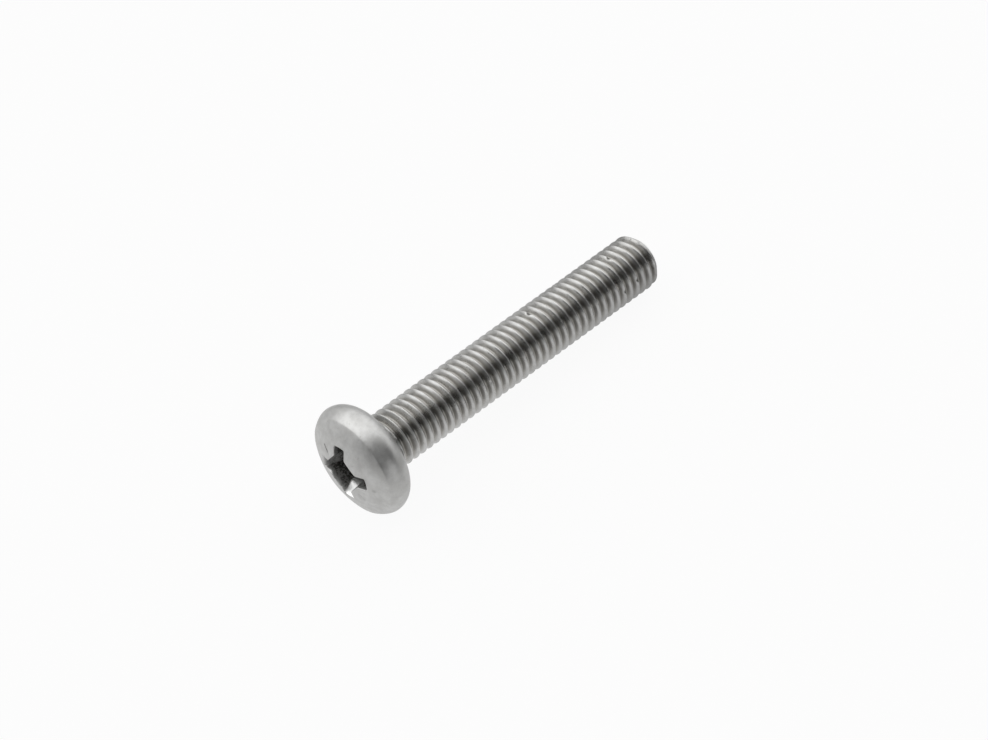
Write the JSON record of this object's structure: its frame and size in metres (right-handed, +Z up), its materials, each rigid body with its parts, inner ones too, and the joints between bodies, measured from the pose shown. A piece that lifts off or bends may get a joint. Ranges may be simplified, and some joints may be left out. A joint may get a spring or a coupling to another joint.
{
  "type": "machine screw",
  "caption": "Stainless steel pan head machine screw with a cross recess and a thread along its whole shank, for fastening with a nut or in a tapped hole.",
  "frame": {"origin": "on the surface that the screw lies on, under the middle of its length", "axes": "+Z up. The screw lies along X in the XZ plane, with its head at -X and its tip at +X, and rests on the side of its head and the edge of its tip, so its axis slopes down to the tip by 4.48 degrees. +Y is to the left of someone who looks from the head to the tip"},
  "size_m": [0.0559, 0.016, 0.016],
  "materials": {
    "stainless_steel": "plain stainless steel as rolled, satin, with fine handling marks"
  },
  "bodies": {
    "root": {"machine_screw": "stainless_steel"}
  },
  "joints": []
}
